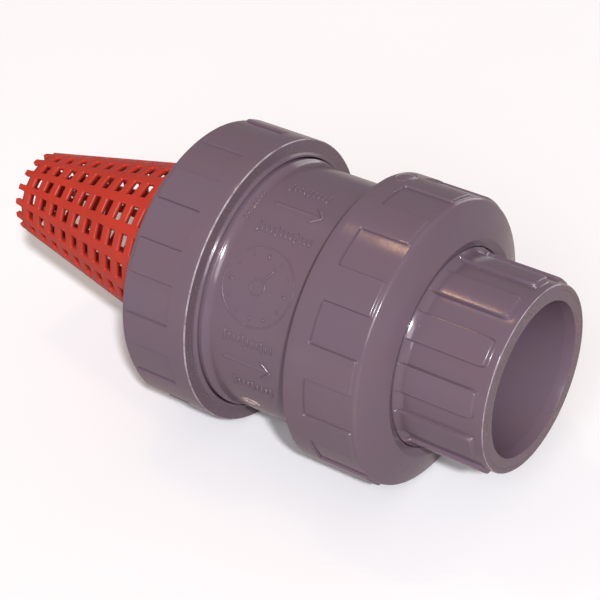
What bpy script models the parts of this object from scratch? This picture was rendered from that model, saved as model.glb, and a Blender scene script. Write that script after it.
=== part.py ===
"""Spring-loaded foot valve with two union nuts and a conical net strainer.

Frame: metres, +X along the flow towards the pipe, +Z up. The valve lies on its
nuts, and the origin is under the middle of its length, on the surface it lies on.
Every piece is drawn with its own axis along local Z and its station along the
flow as local z. The empty "flow_axis" then lays local Z along the frame's +X.
"""
import math

import bmesh
import bpy

MM = 0.001

# Driving dimensions: a solvent socket for 63 mm pipe, and lengths along the flow.
PIPE_RADIUS = 31.5 * MM
HALF_LENGTH = 124.4 * MM
NUT_RADIUS = 60.76 * MM
BARREL_RADIUS = 51.65 * MM
CLEARANCE = 0.3 * MM
STEPS = 48

# Outlet end connector.
SOCKET_FACE = HALF_LENGTH
SOCKET_OUTER_RADIUS = 38.6 * MM
SOCKET_FACE_RADIUS = 37.3 * MM
SOCKET_MOUTH_RADIUS = PIPE_RADIUS + 0.5 * MM
SOCKET_BORE_RADIUS = PIPE_RADIUS + 0.1 * MM
SOCKET_LEAD_IN = 3.0 * MM
SOCKET_DEPTH = 38.0 * MM
PIPE_STOP = SOCKET_FACE - SOCKET_DEPTH
THROAT_RADIUS = 27.0 * MM
FLANGE_RADIUS = 47.8 * MM
FLANGE_THICKNESS = 7.0 * MM
RIB_COUNT = 12
SOCKET_RIB_RADIUS = 40.3 * MM
SOCKET_RIB_DEGREES = 16.5
SOCKET_RIB_PHASE = 257.2
SOCKET_RIB_TOP = SOCKET_FACE - 4.4 * MM
NECK_RADIUS = 41.4 * MM
NECK_FLARE = 3.4 * MM

# Union nuts: u is measured from the open, threaded end.
NUT_LENGTH = 38.5 * MM
NUT_SHOULDER_RADIUS = 59.3 * MM
NUT_SHOULDER = 31.9 * MM
NUT_RIB_END = 30.4 * MM
NUT_COLLAR_RADIUS = 45.3 * MM
NUT_HOLE_RADIUS = 41.8 * MM
NUT_STEP = 1.3 * MM
NUT_LEDGE = 30.15 * MM
NUT_FLANGE_BORE = FLANGE_RADIUS + CLEARANCE
NUT_THREAD_END = 22.8 * MM
NUT_THREAD_ROOT = 55.0 * MM
NUT_LIP_RADIUS = 52.7 * MM
NUT_LIP_LENGTH = 1.6 * MM
NUT_EDGE_CHAMFER = 0.4 * MM
NUT_FACE_INNER_RADIUS = 55.6 * MM
NUT_NOSE_RADII = (53.6 * MM, 54.6 * MM)
NUT_NOSE_LENGTH = 1.3 * MM
POCKET_START = 9.1 * MM
POCKET_FLOOR = 59.75 * MM
POCKET_DEGREES = 16.5
OUTLET_NUT_OPEN_END = 48.95 * MM
INLET_NUT_OPEN_END = 1.85 * MM
OUTLET_POCKET_PHASE = 0.0
INLET_POCKET_PHASE = 255.8

# Stations that follow from the nuts.
OUTLET_LEDGE = OUTLET_NUT_OPEN_END + NUT_LEDGE
CONNECTOR_FLANGE_TOP = OUTLET_LEDGE - CLEARANCE
CONNECTOR_FACE = CONNECTOR_FLANGE_TOP - FLANGE_THICKNESS
BODY_OUTLET_END = CONNECTOR_FACE - 0.5 * MM
INLET_LEDGE = INLET_NUT_OPEN_END - NUT_LEDGE
STRAINER_FLANGE_LOW = INLET_LEDGE + CLEARANCE
STRAINER_FLANGE_TOP = STRAINER_FLANGE_LOW + 2.5 * MM
GASKET_LOW = STRAINER_FLANGE_TOP + CLEARANCE
GASKET_TOP = GASKET_LOW + 1.5 * MM
CARRIER_LOW = GASKET_TOP + CLEARANCE
CARRIER_FLANGE_TOP = CARRIER_LOW + 4.2 * MM
BODY_INLET_END = CARRIER_FLANGE_TOP + CLEARANCE

# Collar that the inlet nut stops against.
COLLAR_RADIUS = 53.1 * MM
COLLAR_LOW = INLET_NUT_OPEN_END + CLEARANCE
COLLAR_TOP = INLET_NUT_OPEN_END + 2.6 * MM
COLLAR_FOOT = INLET_NUT_OPEN_END + 6.0 * MM

# Body bores.
CARRIER_BORE_RADIUS = 45.5 * MM
CHAMBER_RADIUS = 44.0 * MM
GUIDE_BORE_RADIUS = 46.0 * MM
GUIDE_LEDGE = 55.0 * MM
SNAP_GROOVE_RADIUS = 47.9 * MM
SNAP_GROOVE = (63.3 * MM, 65.1 * MM)

# Seat carrier.
CARRIER_TOP = 1.5 * MM
CARRIER_RADIUS = CARRIER_BORE_RADIUS - CLEARANCE
CARRIER_GROOVE = (-9.0 * MM, -5.0 * MM)
CARRIER_GROOVE_RADIUS = 42.6 * MM
SEAT_BORE_RADIUS = 25.0 * MM
SEAT_LIP_TOP = 3.0 * MM
SEAT_LIP_WIDTH = 2.0 * MM
SEAT_LIP_FOOT = 3.5 * MM
INLET_MOUTH_RADIUS = 36.0 * MM
INLET_FUNNEL_END = -8.0 * MM
SEAL_GROOVE_RADIUS = 44.05 * MM

# Poppet, its seal and what clamps it.
STEM_RADIUS = 4.0 * MM
STEM_TOP = 70.0 * MM
CLIP_GROOVE = (66.85 * MM, 68.35 * MM)
CLIP_GROOVE_RADIUS = 3.2 * MM
POPPET_RADIUS = 31.0 * MM
POPPET_BOSS_RADIUS = 9.5 * MM
POPPET_BOSS_TOP = 14.5 * MM
POPPET_RIM = (4.0 * MM, 8.0 * MM)
POPPET_RIM_CHAMFER = 1.5 * MM
POPPET_BACK_RISE = 2.5 * MM
SEAL_LOW = SEAT_LIP_TOP + CLEARANCE
SEAL_THICKNESS = 2.0 * MM
SEAL_OUTER_RADIUS = 29.6 * MM
SEAL_INNER_RADIUS = 10.3 * MM
RETAINER_RADIUS = 21.0 * MM
RETAINER_THICKNESS = 2.2 * MM
SCREW_HOLE_RADIUS = 2.8 * MM
SCREW_RADIUS = 2.5 * MM
SCREW_HOLE_END = 12.5 * MM
SCREW_HEAD_RADIUS = 4.2 * MM
SCREW_HEAD_HEIGHT = 2.9 * MM
SCREW_HEAD_CHAMFER = 0.7 * MM
SCREW_SOCKET_RADIUS = 2.0 * MM
SCREW_SOCKET_DEPTH = 1.6 * MM
WASHER_RADIUS = 6.0 * MM
WASHER_THICKNESS = 1.0 * MM

# Guide, bush and spring.
GUIDE_LOW = GUIDE_LEDGE + CLEARANCE
GUIDE_TOP = SNAP_GROOVE[0]
HUB_LOW = 52.0 * MM
HUB_TOP = 64.0 * MM
HUB_RADIUS = 11.0 * MM
HUB_BORE_RADIUS = 6.5 * MM
ARM_WIDTH = 4.0 * MM
ARM_HEIGHT = 5.0 * MM
GUIDE_RING_WIDTH = 4.0 * MM
BUSH_FLANGE_RADIUS = 8.5 * MM
BUSH_FLANGE_THICKNESS = 1.2 * MM
SNAP_RING_INNER_RADIUS = 44.8 * MM
CLIP_RADIUS = 7.0 * MM
CUP_RADIUS = 10.6 * MM
CUP_WALL = 1.2 * MM
SPRING_RADIUS = 8.0 * MM
SPRING_WIRE_RADIUS = 0.75 * MM
SPRING_TURNS = 6
CUP_LOW = POPPET_BOSS_TOP + CLEARANCE
CUP_BASE = 1.2 * MM
CUP_HEIGHT = 2.5 * MM

# Strainer net.
NET_STRIPS = 17
NET_STRIP_DEGREES = 7.9
NET_HOLE_PHASE = 266.65
NET_THICKNESS = 2.0 * MM
NET_RADIUS_AT_COLLAR = 37.6 * MM
NET_COLLAR = -37.1 * MM
NET_SLOPE = 0.2198
NET_TOP = -32.0 * MM
HOLE_ROWS = 11
HOLE_PITCH = 7.56 * MM
HOLE_LENGTH = 4.05 * MM
LAST_HOLE = -114.3 * MM
LAST_HOOP_END = -120.2 * MM
SLEEVE_LOW = -34.0 * MM
END_DISC_RADIUS = 18.7 * MM
END_DISC_CENTRE = -118.4 * MM
END_WINDOWS = ((4.0 * MM, 8.5 * MM, 6), (11.0 * MM, 15.5 * MM, 10))
END_SPOKE_WIDTH = 3.2 * MM

PVC_GREY = (0.185, 0.150, 0.170)
NET_RED = (0.58, 0.065, 0.035)
RUBBER_BLACK = (0.02, 0.02, 0.021)
ACETAL_WHITE = (0.75, 0.74, 0.70)
STEEL = (0.62, 0.61, 0.60)


def clear_scene():
    for old in list(bpy.data.objects):
        bpy.data.objects.remove(old, do_unlink=True)


def make_collection(name):
    collection = bpy.data.collections.new(name)
    bpy.context.scene.collection.children.link(collection)
    return collection


def make_flow_axis(collection):
    """An empty whose local Z lies along the frame's +X, at the valve's axis."""
    empty = bpy.data.objects.new("flow_axis", None)
    empty.location = (0.0, 0.0, NUT_RADIUS)
    empty.rotation_euler = (0.0, math.pi / 2, 0.0)
    collection.objects.link(empty)
    return empty


clear_scene()
PARTS = make_collection("foot_valve")
CUTTERS = make_collection("foot_valve_cutters")
FLOW_AXIS = make_flow_axis(PARTS)


def paint(obj, colour, roughness, metallic=0.0):
    material = bpy.data.materials.new(obj.name)
    material.use_nodes = True
    shader = material.node_tree.nodes["Principled BSDF"]
    shader.inputs["Base Color"].default_value = (*colour, 1.0)
    shader.inputs["Roughness"].default_value = roughness
    shader.inputs["Metallic"].default_value = metallic
    obj.data.materials.clear()
    obj.data.materials.append(material)


def place(name, mesh, collection):
    obj = bpy.data.objects.new(name, mesh)
    obj.parent = FLOW_AXIS
    collection.objects.link(obj)
    return obj


def as_cutter(obj):
    obj.hide_render = True
    obj.display_type = "WIRE"
    return obj


def turned(name, profile, collection=PARTS, steps=STEPS, closed=True):
    """Turn (radius, z) points about local Z. They run down the outer side first."""
    mesh = bpy.data.meshes.new(name)
    edges = [(i, i + 1) for i in range(len(profile) - 1)]
    if closed:
        edges.append((len(profile) - 1, 0))
    mesh.from_pydata([(radius, 0.0, z) for radius, z in profile], edges, [])
    obj = place(name, mesh, collection)
    screw = obj.modifiers.new("turn", "SCREW")
    screw.axis = "Z"
    screw.steps = steps
    screw.render_steps = steps
    screw.use_merge_vertices = True
    screw.merge_threshold = 0.00001
    return obj


def sector(inner, outer, centre, width, arc_steps=4):
    """Outline of a ring sector, in degrees about local Z."""
    angles = [centre + width * (i / arc_steps - 0.5) for i in range(arc_steps + 1)]
    rim = [(outer, a) for a in angles]
    root = [(inner, a) for a in reversed(angles)]
    return [(r * math.cos(math.radians(a)), r * math.sin(math.radians(a))) for r, a in rim + root]


def prism(name, outlines, low, high, collection=CUTTERS):
    """Closed solid, or several, with flat outlines raised from low to high."""
    curve = bpy.data.curves.new(name, "CURVE")
    curve.dimensions = "2D"
    curve.fill_mode = "BOTH"
    curve.extrude = (high - low) / 2
    for outline in outlines:
        spline = curve.splines.new("POLY")
        spline.points.add(len(outline) - 1)
        for point, (x, y) in zip(spline.points, outline):
            point.co = (x, y, 0.0, 1.0)
        spline.use_cyclic_u = True
    return curve_to_mesh(name, curve, (0.0, 0.0, (high + low) / 2), collection)


def curve_to_mesh(name, curve, location, collection):
    """Replace a curve by its welded mesh, in the same place."""
    source = place(name + "_curve", curve, collection)
    source.location = location
    bpy.context.view_layer.update()
    graph = bpy.context.evaluated_depsgraph_get()
    mesh = bpy.data.meshes.new_from_object(source.evaluated_get(graph))
    welded = bmesh.new()
    welded.from_mesh(mesh)
    bmesh.ops.remove_doubles(welded, verts=welded.verts, dist=0.000001)
    bmesh.ops.recalc_face_normals(welded, faces=welded.faces)
    welded.to_mesh(mesh)
    welded.free()
    obj = place(name, mesh, collection)
    obj.matrix_world = source.matrix_world
    bpy.data.objects.remove(source, do_unlink=True)
    return obj


def combine(obj, other, operation):
    """Add a Boolean. The other piece becomes a hidden cutter."""
    as_cutter(other)
    boolean = obj.modifiers.new(other.name, "BOOLEAN")
    boolean.operation = operation
    boolean.solver = "EXACT"
    boolean.object = other


def box_cutter(name, size, location):
    mesh = bpy.data.meshes.new(name)
    cube = bmesh.new()
    bmesh.ops.create_cube(cube, size=1.0)
    bmesh.ops.scale(cube, vec=size, verts=cube.verts)
    cube.to_mesh(mesh)
    cube.free()
    obj = place(name, mesh, CUTTERS)
    obj.location = location
    return obj


def o_ring(name, radius, section_radius, z):
    """A ring seal of round section."""
    sides = 8
    profile = []
    for side in range(sides):
        angle = math.radians(90.0 - 360.0 * (side + 0.5) / sides)
        profile.append((radius + section_radius * math.cos(angle), z + section_radius * math.sin(angle)))
    seal = turned(name, profile, steps=36)
    paint(seal, RUBBER_BLACK, 0.6)
    return seal


def make_valve_body():
    groove_low, groove_top = SNAP_GROOVE
    chamfer = 0.5 * MM
    profile = [
        (BARREL_RADIUS - chamfer, BODY_OUTLET_END),
        (BARREL_RADIUS, BODY_OUTLET_END - chamfer),
        (BARREL_RADIUS, COLLAR_FOOT),
        (COLLAR_RADIUS, COLLAR_TOP),
        (COLLAR_RADIUS, COLLAR_LOW),
        (BARREL_RADIUS, COLLAR_LOW),
        (BARREL_RADIUS, BODY_INLET_END + chamfer),
        (BARREL_RADIUS - chamfer, BODY_INLET_END),
        (CARRIER_BORE_RADIUS, BODY_INLET_END),
        (CARRIER_BORE_RADIUS, CARRIER_TOP + CLEARANCE),
        (CHAMBER_RADIUS, CARRIER_TOP + CLEARANCE),
        (CHAMBER_RADIUS, GUIDE_LEDGE),
        (GUIDE_BORE_RADIUS, GUIDE_LEDGE),
        (GUIDE_BORE_RADIUS, groove_low),
        (SNAP_GROOVE_RADIUS, groove_low),
        (SNAP_GROOVE_RADIUS, groove_top),
        (GUIDE_BORE_RADIUS, groove_top),
        (GUIDE_BORE_RADIUS, BODY_OUTLET_END),
    ]
    body = turned("valve_body", profile)
    paint(body, PVC_GREY, 0.35)


def make_union_nut(name, open_end, direction, pocket_phase):
    """One nut. direction is +1 where its collar faces the outlet, -1 for the inlet."""
    nose_inner, nose_outer = NUT_NOSE_RADII
    outer = [
        (nose_inner, 0.0),
        (nose_inner, -NUT_NOSE_LENGTH),
        (nose_outer, -NUT_NOSE_LENGTH),
        (NUT_FACE_INNER_RADIUS, 0.0),
        (NUT_RADIUS - NUT_EDGE_CHAMFER, 0.0),
        (NUT_RADIUS, NUT_EDGE_CHAMFER),
        (NUT_RADIUS, NUT_RIB_END),
        (NUT_SHOULDER_RADIUS, NUT_SHOULDER),
        (NUT_COLLAR_RADIUS, NUT_LENGTH),
        (NUT_HOLE_RADIUS, NUT_LENGTH - NUT_STEP),
    ]
    inner = [
        (NUT_HOLE_RADIUS, NUT_LEDGE),
        (NUT_FLANGE_BORE, NUT_LEDGE),
        (NUT_FLANGE_BORE, NUT_THREAD_END),
        (NUT_THREAD_ROOT, NUT_THREAD_END),
        (NUT_THREAD_ROOT, NUT_LIP_LENGTH),
        (NUT_LIP_RADIUS, NUT_LIP_LENGTH),
        (NUT_LIP_RADIUS, 0.0),
    ]
    loop = [(radius, open_end + direction * u) for radius, u in outer + inner]
    if direction > 0:
        loop.reverse()
    nut = turned(name, loop)
    paint(nut, PVC_GREY, 0.35)
    ends = sorted((open_end + direction * POCKET_START, open_end + direction * (NUT_LENGTH - NUT_STEP)))
    pitch = 360.0 / RIB_COUNT
    outlines = [
        sector(POCKET_FLOOR, NUT_RADIUS + 2.0 * MM, pocket_phase + pitch * i, POCKET_DEGREES)
        for i in range(RIB_COUNT)
    ]
    combine(nut, prism(name + "_pockets", outlines, *ends), "DIFFERENCE")


def make_outlet_end_connector():
    groove_inner, groove_outer, groove_depth = 38.0 * MM, 42.0 * MM, 2.8 * MM
    neck_top = OUTLET_NUT_OPEN_END + NUT_LENGTH - NUT_STEP
    profile = [
        (SOCKET_FACE_RADIUS, SOCKET_FACE),
        (SOCKET_OUTER_RADIUS, SOCKET_FACE - 1.2 * MM),
        (SOCKET_OUTER_RADIUS, neck_top + NECK_FLARE),
        (NECK_RADIUS, neck_top),
        (NECK_RADIUS, CONNECTOR_FLANGE_TOP),
        (FLANGE_RADIUS, CONNECTOR_FLANGE_TOP),
        (FLANGE_RADIUS, CONNECTOR_FACE),
        (groove_outer, CONNECTOR_FACE),
        (groove_outer, CONNECTOR_FACE + groove_depth),
        (groove_inner, CONNECTOR_FACE + groove_depth),
        (groove_inner, CONNECTOR_FACE),
        (THROAT_RADIUS, CONNECTOR_FACE),
        (THROAT_RADIUS, PIPE_STOP),
        (SOCKET_BORE_RADIUS, PIPE_STOP),
        (SOCKET_BORE_RADIUS, SOCKET_FACE - SOCKET_LEAD_IN),
        (SOCKET_MOUTH_RADIUS, SOCKET_FACE),
    ]
    connector = turned("outlet_end_connector", profile)
    paint(connector, PVC_GREY, 0.35)
    root = SOCKET_OUTER_RADIUS - 1.5 * MM
    pitch = 360.0 / RIB_COUNT
    outlines = [
        sector(root, SOCKET_RIB_RADIUS, SOCKET_RIB_PHASE + pitch * i, SOCKET_RIB_DEGREES)
        for i in range(RIB_COUNT)
    ]
    ribs = prism("socket_ribs", outlines, neck_top - 1.0 * MM, SOCKET_RIB_TOP)
    combine(connector, ribs, "UNION")
    o_ring("outlet_face_seal", (groove_inner + groove_outer) / 2, 1.35 * MM, BODY_OUTLET_END + 1.65 * MM)


def make_seat_carrier():
    groove_low, groove_top = CARRIER_GROOVE
    profile = [
        (SEAT_BORE_RADIUS + SEAT_LIP_WIDTH, SEAT_LIP_TOP),
        (SEAT_BORE_RADIUS + SEAT_LIP_FOOT, CARRIER_TOP),
        (CARRIER_RADIUS, CARRIER_TOP),
        (CARRIER_RADIUS, groove_top),
        (CARRIER_GROOVE_RADIUS, groove_top),
        (CARRIER_GROOVE_RADIUS, groove_low),
        (CARRIER_RADIUS, groove_low),
        (CARRIER_RADIUS, CARRIER_FLANGE_TOP),
        (FLANGE_RADIUS, CARRIER_FLANGE_TOP),
        (FLANGE_RADIUS, CARRIER_LOW),
        (INLET_MOUTH_RADIUS, CARRIER_LOW),
        (SEAT_BORE_RADIUS, INLET_FUNNEL_END),
        (SEAT_BORE_RADIUS, SEAT_LIP_TOP),
    ]
    carrier = turned("seat_carrier", profile)
    paint(carrier, PVC_GREY, 0.35)
    o_ring("seat_carrier_seal", SEAL_GROOVE_RADIUS, 1.15 * MM, (groove_low + groove_top) / 2)


def make_strainer_gasket():
    inner = INLET_MOUTH_RADIUS + 0.5 * MM
    outer = FLANGE_RADIUS - CLEARANCE
    profile = [(outer, GASKET_TOP), (outer, GASKET_LOW), (inner, GASKET_LOW), (inner, GASKET_TOP)]
    paint(turned("strainer_gasket", profile), RUBBER_BLACK, 0.7)


def net_radius(z):
    return NET_RADIUS_AT_COLLAR + NET_SLOPE * (z - NET_COLLAR)


def net_stations():
    """Heights of the net's cross lines, top to bottom: hoop, holes, hoop, and so on."""
    stations = [NET_TOP]
    for row in reversed(range(HOLE_ROWS)):
        centre = LAST_HOLE + HOLE_PITCH * row
        stations += [centre + HOLE_LENGTH / 2, centre - HOLE_LENGTH / 2]
    return stations + [LAST_HOOP_END, -HALF_LENGTH]


def make_net():
    """Cone of crossed strips: a grid wrapped round, with the faces of the holes removed."""
    stations = net_stations()
    columns = 2 * NET_STRIPS
    rows = len(stations) - 1
    pitch = 360.0 / NET_STRIPS
    grid = bmesh.new()
    bmesh.ops.create_grid(grid, x_segments=columns, y_segments=rows, size=1.0)
    holes = []
    for face in grid.faces:
        centre = face.calc_center_median()
        column = int((centre.x + 1.0) / 2.0 * columns)
        row = rows - 1 - int((centre.y + 1.0) / 2.0 * rows)
        if column % 2 == 0 and row % 2 == 1:
            holes.append(face)
    bmesh.ops.delete(grid, geom=holes, context="FACES")
    for vertex in grid.verts:
        column = round((vertex.co.x + 1.0) / 2.0 * columns)
        z = stations[rows - round((vertex.co.y + 1.0) / 2.0 * rows)]
        side = -0.5 if column % 2 == 0 else 0.5
        hole_angle = NET_HOLE_PHASE + pitch * (column // 2)
        angle = math.radians(hole_angle + side * (pitch - NET_STRIP_DEGREES))
        radius = net_radius(z)
        vertex.co = (radius * math.cos(angle), radius * math.sin(angle), z)
    bmesh.ops.remove_doubles(grid, verts=grid.verts, dist=0.00001)
    bmesh.ops.recalc_face_normals(grid, faces=grid.faces)
    mesh = bpy.data.meshes.new("strainer_basket")
    grid.to_mesh(mesh)
    grid.free()
    net = place("strainer_basket", mesh, PARTS)
    solidify = net.modifiers.new("thickness", "SOLIDIFY")
    solidify.thickness = NET_THICKNESS
    solidify.offset = -1.0
    return net


def make_strainer_basket():
    net = make_net()
    paint(net, NET_RED, 0.5)
    sleeve_outer = net_radius(NET_TOP) + 0.8 * MM
    sleeve_inner = net_radius(SLEEVE_LOW) - NET_THICKNESS - 0.5 * MM
    mouth = turned("strainer_mouth", [
        (FLANGE_RADIUS, STRAINER_FLANGE_TOP),
        (FLANGE_RADIUS, STRAINER_FLANGE_LOW),
        (sleeve_outer, STRAINER_FLANGE_LOW),
        (sleeve_outer, SLEEVE_LOW),
        (sleeve_inner, SLEEVE_LOW),
        (sleeve_inner, STRAINER_FLANGE_TOP),
    ], CUTTERS)
    combine(net, mouth, "UNION")
    half = 1.0 * MM
    disc = turned("strainer_end", [
        (0.0, END_DISC_CENTRE + half),
        (END_DISC_RADIUS, END_DISC_CENTRE + half),
        (END_DISC_RADIUS, END_DISC_CENTRE - half),
        (0.0, END_DISC_CENTRE - half),
    ], CUTTERS, steps=2 * NET_STRIPS, closed=False)
    windows = []
    for inner, outer, count in END_WINDOWS:
        width = 360.0 / count - math.degrees(END_SPOKE_WIDTH / inner)
        windows += [sector(inner, outer, 360.0 * i / count, width) for i in range(count)]
    through = prism("strainer_end_windows", windows, END_DISC_CENTRE - 2 * half, END_DISC_CENTRE + 2 * half)
    combine(disc, through, "DIFFERENCE")
    combine(net, disc, "UNION")


def make_poppet():
    groove_low, groove_top = CLIP_GROOVE
    rim_low, rim_top = POPPET_RIM
    recess = SEAL_LOW + SEAL_THICKNESS + CLEARANCE
    profile = [
        (0.0, STEM_TOP),
        (STEM_RADIUS - 0.6 * MM, STEM_TOP),
        (STEM_RADIUS, STEM_TOP - 0.6 * MM),
        (STEM_RADIUS, groove_top),
        (CLIP_GROOVE_RADIUS, groove_top),
        (CLIP_GROOVE_RADIUS, groove_low),
        (STEM_RADIUS, groove_low),
        (STEM_RADIUS, POPPET_BOSS_TOP),
        (POPPET_BOSS_RADIUS, POPPET_BOSS_TOP),
        (POPPET_BOSS_RADIUS, rim_top + POPPET_BACK_RISE),
        (POPPET_RADIUS - POPPET_RIM_CHAMFER, rim_top + 1.0 * MM),
        (POPPET_RADIUS, rim_top),
        (POPPET_RADIUS, rim_low),
        (SEAL_OUTER_RADIUS + CLEARANCE, rim_low),
        (SEAL_OUTER_RADIUS + CLEARANCE, recess),
        (SEAL_INNER_RADIUS - CLEARANCE, recess),
        (SEAL_INNER_RADIUS - CLEARANCE, SEAL_LOW),
        (SCREW_HOLE_RADIUS, SEAL_LOW),
        (SCREW_HOLE_RADIUS, SCREW_HOLE_END),
        (0.0, SCREW_HOLE_END),
    ]
    paint(turned("poppet", profile, steps=24, closed=False), PVC_GREY, 0.35)


def ring(name, outer, inner, low, high, steps=24):
    profile = [(outer, high), (outer, low), (inner, low), (inner, high)]
    return turned(name, profile, steps=steps)


def make_seal_clamp():
    seal = ring("poppet_seal", SEAL_OUTER_RADIUS, SEAL_INNER_RADIUS, SEAL_LOW, SEAL_LOW + SEAL_THICKNESS)
    paint(seal, RUBBER_BLACK, 0.6)
    plate_top = SEAL_LOW - CLEARANCE
    plate_low = plate_top - RETAINER_THICKNESS
    plate = ring("seal_retainer", RETAINER_RADIUS, SCREW_HOLE_RADIUS, plate_low, plate_top)
    paint(plate, STEEL, 0.3, 1.0)
    washer_top = plate_low - CLEARANCE
    washer_low = washer_top - WASHER_THICKNESS
    washer = ring("retainer_washer", WASHER_RADIUS, SCREW_HOLE_RADIUS, washer_low, washer_top)
    paint(washer, STEEL, 0.3, 1.0)
    make_retainer_screw(washer_low - CLEARANCE)


def make_retainer_screw(head_top):
    """Screw up into the poppet, with its head and hexagon socket below head_top."""
    head_low = head_top - SCREW_HEAD_HEIGHT
    screw = turned("retainer_screw", [
        (0.0, SCREW_HOLE_END - CLEARANCE),
        (SCREW_RADIUS, SCREW_HOLE_END - CLEARANCE),
        (SCREW_RADIUS, head_top),
        (SCREW_HEAD_RADIUS, head_top),
        (SCREW_HEAD_RADIUS, head_low + SCREW_HEAD_CHAMFER),
        (SCREW_HEAD_RADIUS - SCREW_HEAD_CHAMFER, head_low),
        (0.0, head_low),
    ], steps=24, closed=False)
    paint(screw, STEEL, 0.3, 1.0)
    corners = [math.radians(60.0 * i) for i in range(6)]
    hexagon = [(SCREW_SOCKET_RADIUS * math.cos(a), SCREW_SOCKET_RADIUS * math.sin(a)) for a in corners]
    socket = prism("screw_socket", [hexagon], head_low - 1.0 * MM, head_low + SCREW_SOCKET_DEPTH)
    combine(screw, socket, "DIFFERENCE")


def make_stem_guide():
    guide = turned("stem_guide", [
        (GUIDE_BORE_RADIUS - CLEARANCE, GUIDE_TOP),
        (GUIDE_BORE_RADIUS - CLEARANCE, GUIDE_LOW),
        (GUIDE_BORE_RADIUS - GUIDE_RING_WIDTH, GUIDE_LOW),
        (GUIDE_BORE_RADIUS - GUIDE_RING_WIDTH, GUIDE_TOP),
    ])
    paint(guide, PVC_GREY, 0.4)
    reach = 2 * GUIDE_BORE_RADIUS - GUIDE_RING_WIDTH
    arm_centre = (GUIDE_LOW + GUIDE_TOP) / 2
    hub = turned("guide_hub", [
        (0.0, HUB_TOP),
        (HUB_RADIUS - 1.0 * MM, HUB_TOP),
        (HUB_RADIUS, HUB_TOP - 1.0 * MM),
        (HUB_RADIUS, HUB_LOW),
        (0.0, HUB_LOW),
    ], CUTTERS, steps=24, closed=False)
    for name, size_x, size_y in (("guide_arm_x", reach, ARM_WIDTH), ("guide_arm_y", ARM_WIDTH, reach)):
        combine(guide, box_cutter(name, (size_x, size_y, ARM_HEIGHT), (0, 0, arm_centre)), "UNION")
    combine(guide, hub, "UNION")
    bore = ring("guide_bore", HUB_BORE_RADIUS, 0.0, HUB_LOW - 1.0 * MM, HUB_TOP + 1.0 * MM)
    combine(guide, bore, "DIFFERENCE")


def make_guide_bush():
    inner, outer = STEM_RADIUS + CLEARANCE, HUB_BORE_RADIUS - CLEARANCE
    flange_low = HUB_TOP + CLEARANCE
    flange_top = flange_low + BUSH_FLANGE_THICKNESS
    bush = turned("guide_bush", [
        (BUSH_FLANGE_RADIUS, flange_top),
        (BUSH_FLANGE_RADIUS, flange_low),
        (outer, flange_low),
        (outer, HUB_LOW + CLEARANCE),
        (inner, HUB_LOW + CLEARANCE),
        (inner, flange_top),
    ], steps=24)
    paint(bush, ACETAL_WHITE, 0.45)


def make_split_rings():
    """The snap ring of the guide and the clip on the stem, each open on one side."""
    low, high = SNAP_GROOVE[0] + CLEARANCE, SNAP_GROOVE[1] - CLEARANCE
    outer = SNAP_GROOVE_RADIUS - CLEARANCE
    snap = ring("guide_retaining_ring", outer, SNAP_RING_INNER_RADIUS, low, high, STEPS)
    paint(snap, STEEL, 0.3, 1.0)
    gap = (8.0 * MM, 8.0 * MM, 6.0 * MM)
    combine(snap, box_cutter("snap_ring_gap", gap, (-46.0 * MM, 0.0, (low + high) / 2)), "DIFFERENCE")
    low, high = CLIP_GROOVE[0] + CLEARANCE, CLIP_GROOVE[1] - CLEARANCE
    clip = ring("stem_clip", CLIP_RADIUS, CLIP_GROOVE_RADIUS + CLEARANCE, low, high)
    paint(clip, STEEL, 0.3, 1.0)
    gap = (8.0 * MM, 4.6 * MM, 6.0 * MM)
    combine(clip, box_cutter("stem_clip_gap", gap, (-5.0 * MM, 0.0, (low + high) / 2)), "DIFFERENCE")


def make_spring_cup():
    outer, inner = CUP_RADIUS, STEM_RADIUS + CLEARANCE
    lip = outer - CUP_WALL
    cup = turned("spring_cup", [
        (outer, CUP_LOW + CUP_HEIGHT),
        (outer, CUP_LOW),
        (inner, CUP_LOW),
        (inner, CUP_LOW + CUP_BASE),
        (lip, CUP_LOW + CUP_BASE),
        (lip, CUP_LOW + CUP_HEIGHT),
    ], steps=24)
    paint(cup, STEEL, 0.3, 1.0)


def make_closing_spring():
    points_per_turn = 12
    low = CUP_LOW + CUP_BASE + CLEARANCE + SPRING_WIRE_RADIUS
    high = HUB_LOW - CLEARANCE - SPRING_WIRE_RADIUS
    count = SPRING_TURNS * points_per_turn
    curve = bpy.data.curves.new("closing_spring", "CURVE")
    curve.dimensions = "3D"
    curve.bevel_depth = SPRING_WIRE_RADIUS
    curve.bevel_resolution = 2
    curve.use_fill_caps = True
    spline = curve.splines.new("POLY")
    spline.points.add(count)
    for i, point in enumerate(spline.points):
        angle = 2 * math.pi * i / points_per_turn
        z = low + (high - low) * i / count
        point.co = (SPRING_RADIUS * math.cos(angle), SPRING_RADIUS * math.sin(angle), z, 1.0)
    spring = curve_to_mesh("closing_spring", curve, (0.0, 0.0, 0.0), PARTS)
    paint(spring, STEEL, 0.25, 1.0)


def main():
    make_valve_body()
    make_union_nut("outlet_union_nut", OUTLET_NUT_OPEN_END, 1, OUTLET_POCKET_PHASE)
    make_union_nut("inlet_union_nut", INLET_NUT_OPEN_END, -1, INLET_POCKET_PHASE)
    make_outlet_end_connector()
    make_seat_carrier()
    make_strainer_gasket()
    make_strainer_basket()
    make_poppet()
    make_seal_clamp()
    make_stem_guide()
    make_guide_bush()
    make_split_rings()
    make_spring_cup()
    make_closing_spring()


main()
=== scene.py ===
"""Looks of the foot valve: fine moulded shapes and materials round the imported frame.

Metres, +X along the flow towards the pipe socket, +Z up. Turned shapes are drawn
as (station, radius) corners and swept round the flow axis. Angles about that
axis run from +Y (0 degrees) up to +Z (90 degrees).
"""
import math

import bmesh
import bpy
import numpy as np
from mathutils import Matrix, Vector


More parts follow.
